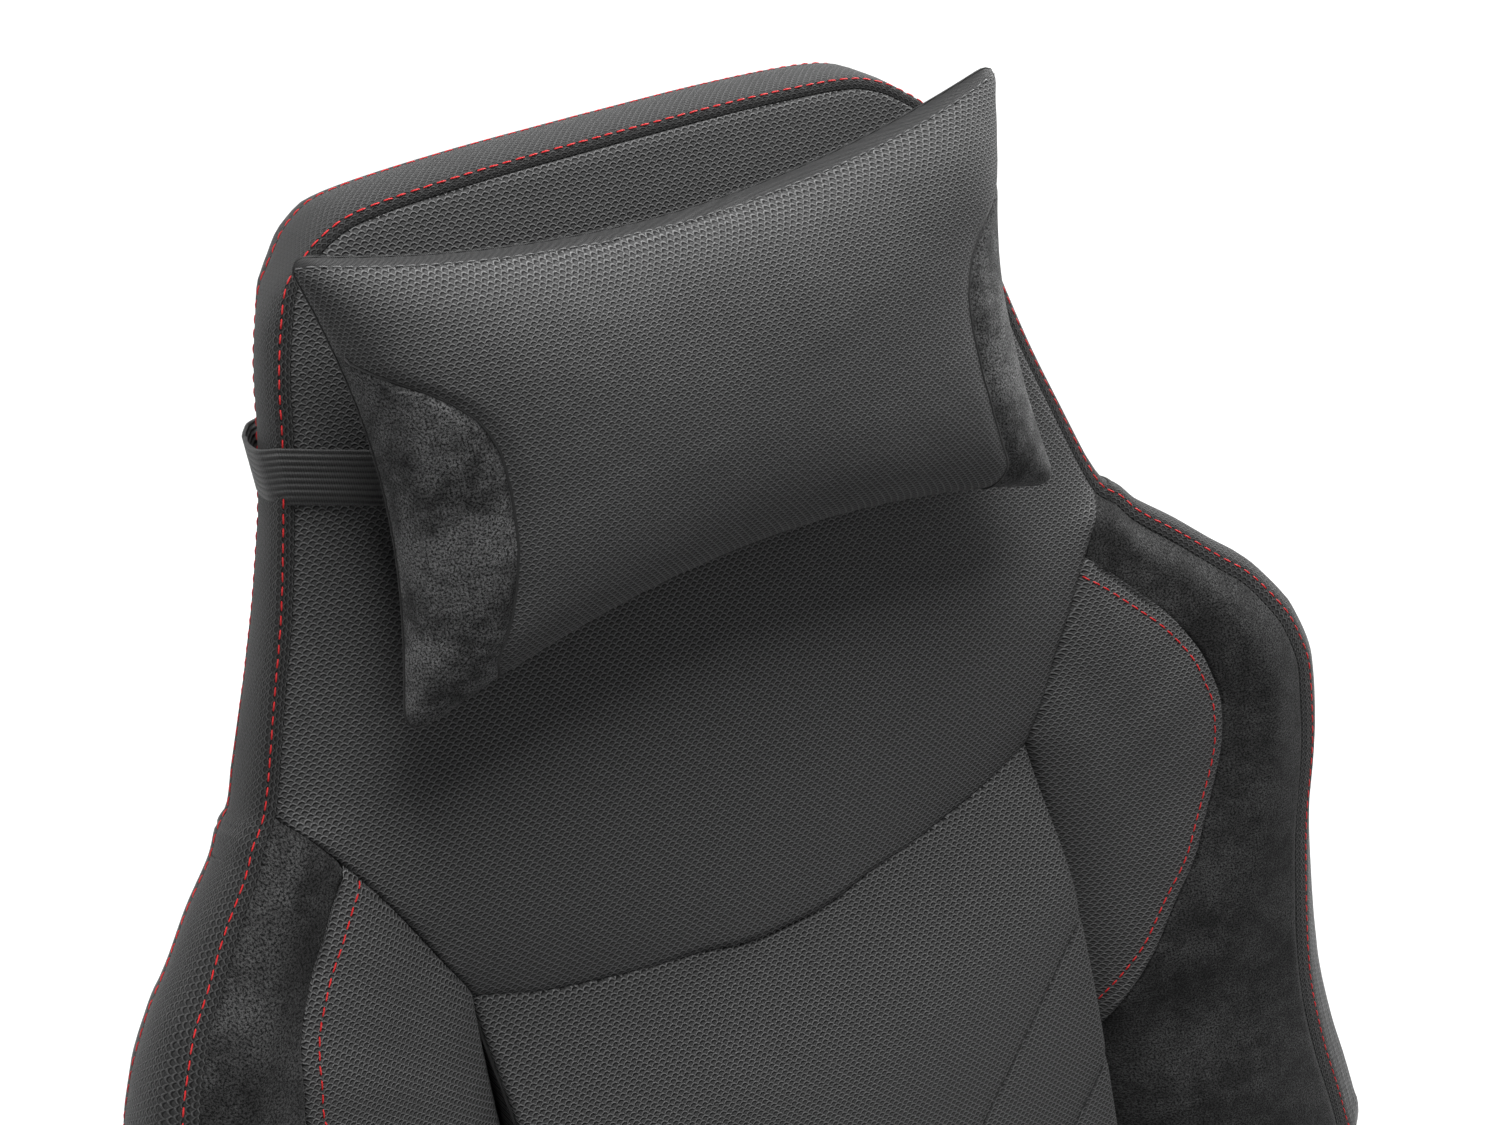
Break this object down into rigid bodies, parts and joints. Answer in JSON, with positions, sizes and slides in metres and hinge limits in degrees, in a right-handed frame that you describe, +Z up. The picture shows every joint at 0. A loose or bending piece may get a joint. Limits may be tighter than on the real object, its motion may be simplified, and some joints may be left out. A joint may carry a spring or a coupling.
{
  "type": "racing style chair seat unit",
  "caption": "Racing-style seat unit with a winged, reclining high back, a strapped head pillow, a bolstered seat, side recliners and a release lever.",
  "frame": {"origin": "centre of the four base bolt holes, on the underside of the base plates", "axes": "+X across to the sitter's left, -Y towards the front of the seat, +Z up, away from the base"},
  "size_m": [0.618, 0.833, 0.8229],
  "materials": {
    "knit_fabric": "charcoal knitted upholstery cloth with a small staggered dimple pattern",
    "band_fabric": "fine charcoal twill-like upholstery cloth",
    "suede_cloth": "near-black suede-like nap",
    "lining_cloth": "thin black non-woven cloth",
    "webbing": "ribbed black elastic",
    "black_steel": "satin black powder coat",
    "zinc_steel": "zinc plated steel",
    "spring_steel": "oiled dark spring steel",
    "black_plastic": "fine-grained moulded plastic"
  },
  "bodies": {
    "seat": {"seat_frame": "black_steel", "base_plates": "black_steel", "base_nuts": "zinc_steel", "seat_webbing": "webbing", "seat_foam": "knit_fabric", "seat_cushion": "knit_fabric", "seat_bolster_left": "suede_cloth", "seat_bolster_right": "suede_cloth", "dust_cover": "lining_cloth", "bracket_left": "black_steel", "bracket_right": "black_steel", "bracket_bolts": "zinc_steel", "hinge_pin": "zinc_steel", "lock_guide": "zinc_steel", "lock_retainer": "zinc_steel", "clock_spring": "spring_steel", "cover_left": "black_plastic", "cover_right": "black_plastic", "cover_screws": "zinc_steel"},
    "back": {"back_frame": "black_steel", "back_cross_tubes": "black_steel", "back_webbing": "webbing", "wing_hoop_left": "black_steel", "wing_hoop_right": "black_steel", "upper_panel": "knit_fabric", "lumbar_block": "knit_fabric", "wing_left": "suede_cloth", "wing_right": "suede_cloth", "side_band": "band_fabric", "rear_cover": "band_fabric", "arm_left": "black_steel", "arm_right": "black_steel", "arm_bolts": "zinc_steel", "lock_ring": "zinc_steel", "spring_hook": "zinc_steel"},
    "lever": {"release_shaft": "zinc_steel", "lever_blade": "black_steel", "lever_grip": "black_plastic"},
    "pawl_upper": {"lock_pawl_upper": "zinc_steel"},
    "pawl_lower": {"lock_pawl_lower": "zinc_steel"},
    "pillow": {"head_pillow": "knit_fabric", "pillow_strap": "webbing"}
  },
  "joints": [
    {"name": "back_recline", "type": "hinge", "parent": "seat", "child": "back", "pos_m": [0, 0.245, 0.092], "axis": [-1, 0, 0], "range_deg": [-15, 45], "deforming": ["clock_spring"]},
    {"name": "recline_lever", "type": "hinge", "parent": "seat", "child": "lever", "pos_m": [0, 0.245, 0.092], "axis": [-1, 0, 0], "range_deg": [0, 28], "stiffness_Nm_per_rad": 0.8, "springref_deg": -34.38},
    {"name": "pillow_slide", "type": "slide", "parent": "back", "child": "pillow", "axis": [0, 0.342, 0.9397], "range_m": [0, 0.03]},
    {"name": "pawl_upper_slide", "type": "slide", "parent": "seat", "child": "pawl_upper", "axis": [0, 0, 1], "range_m": [-0.0019, 0]},
    {"name": "pawl_lower_slide", "type": "slide", "parent": "seat", "child": "pawl_lower", "axis": [0, 0, -1], "range_m": [-0.0019, 0]}
  ],
  "couplings": [
    {"joint": "pawl_upper_slide", "follows": "recline_lever", "m_per_rad": -0.003683},
    {"joint": "pawl_lower_slide", "follows": "recline_lever", "m_per_rad": -0.003683}
  ]
}
